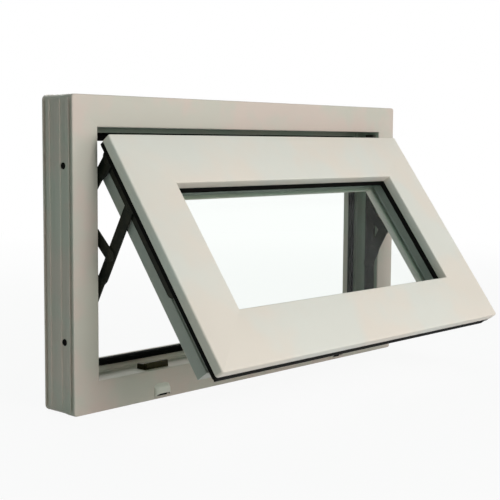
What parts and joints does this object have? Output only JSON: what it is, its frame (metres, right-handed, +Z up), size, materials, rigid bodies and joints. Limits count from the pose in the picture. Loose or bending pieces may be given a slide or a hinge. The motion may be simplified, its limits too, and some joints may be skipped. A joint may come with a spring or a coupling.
{
  "type": "top hung awning window",
  "caption": "Small top hung window: hollow plastic frame, lapping sash swung out on side friction stays, double glazing and black seals.",
  "frame": {"origin": "middle of the sill's underside, halfway along the width and halfway through the frame's depth", "axes": "+X along the width, to the right as seen from outdoors; +Y indoors, through the wall; +Z up"},
  "size_m": [0.675, 0.2808, 0.4],
  "materials": {
    "frame_plastic": "satin extruded plastic, warm light grey",
    "sash_plastic": "satin extruded plastic, pale cream grey",
    "seal_rubber": "matt black extruded rubber",
    "clear_glass": "clear float glass",
    "spacer_aluminium": "mill finish",
    "stay_steel": "dark brown grey coated steel",
    "keep_bronze": "dark bronze coating",
    "cap_plastic": "moulded plastic, light grey",
    "lock_steel": "zinc plated",
    "handle_paint": "powder coat matching the sash"
  },
  "bodies": {
    "root": {"frame_sill": "frame_plastic", "frame_head": "frame_plastic", "frame_jamb_left": "frame_plastic", "frame_jamb_right": "frame_plastic", "sash_rail_bottom": "sash_plastic", "sash_rail_top": "sash_plastic", "sash_stile_left": "sash_plastic", "sash_stile_right": "sash_plastic", "glazing_bead_bottom": "sash_plastic", "glazing_bead_top": "sash_plastic", "glazing_bead_left": "sash_plastic", "glazing_bead_right": "sash_plastic", "frame_seal_sill": "seal_rubber", "frame_seal_head": "seal_rubber", "frame_seal_left": "seal_rubber", "frame_seal_right": "seal_rubber", "lap_seal_bottom": "seal_rubber", "lap_seal_top": "seal_rubber", "lap_seal_left": "seal_rubber", "lap_seal_right": "seal_rubber", "glazing_seal_bottom": "seal_rubber", "glazing_seal_top": "seal_rubber", "glazing_seal_left": "seal_rubber", "glazing_seal_right": "seal_rubber", "glass_pane_outer": "clear_glass", "glass_pane_inner": "clear_glass", "glass_spacer": "spacer_aluminium", "stay_track_left": "stay_steel", "stay_slider_left": "stay_steel", "stay_short_arm_left": "stay_steel", "stay_link_left": "stay_steel", "stay_long_arm_left": "stay_steel", "stay_sash_bar_left": "stay_steel", "stay_track_right": "stay_steel", "stay_slider_right": "stay_steel", "stay_short_arm_right": "stay_steel", "stay_link_right": "stay_steel", "stay_long_arm_right": "stay_steel", "stay_sash_bar_right": "stay_steel", "keep_left": "keep_bronze", "keep_right": "keep_bronze", "weep_cap_left": "cap_plastic", "weep_cap_right": "cap_plastic", "lock_rail": "lock_steel", "handle_plate": "handle_paint", "handle_lever": "handle_paint"}
  },
  "joints": []
}
